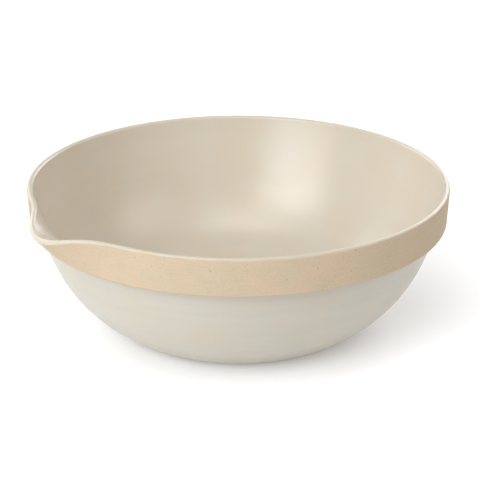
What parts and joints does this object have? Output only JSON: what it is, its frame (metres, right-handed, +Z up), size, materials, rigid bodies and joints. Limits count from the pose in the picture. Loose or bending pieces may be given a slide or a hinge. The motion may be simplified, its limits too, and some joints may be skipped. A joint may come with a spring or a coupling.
{
  "type": "mixing bowl",
  "caption": "Large round stoneware mixing bowl with a pulled pouring spout, a bare clay band round the rim, and glaze inside and below the band.",
  "frame": {"origin": "centre of the foot ring's lower face, on the surface that the bowl stands on", "axes": "+Z up along the bowl's axis, the spout pointing along -X, and +Y to the side"},
  "size_m": [0.3478, 0.33, 0.1151],
  "materials": {
    "bare_stoneware": "unglazed, matte, finely speckled",
    "gloss_white_glaze": "gloss",
    "satin_white_glaze": "satin"
  },
  "bodies": {
    "root": {"stoneware_body": "bare_stoneware", "inside_glaze": "gloss_white_glaze", "outside_glaze": "satin_white_glaze", "foot_recess_glaze": "satin_white_glaze"}
  },
  "joints": []
}
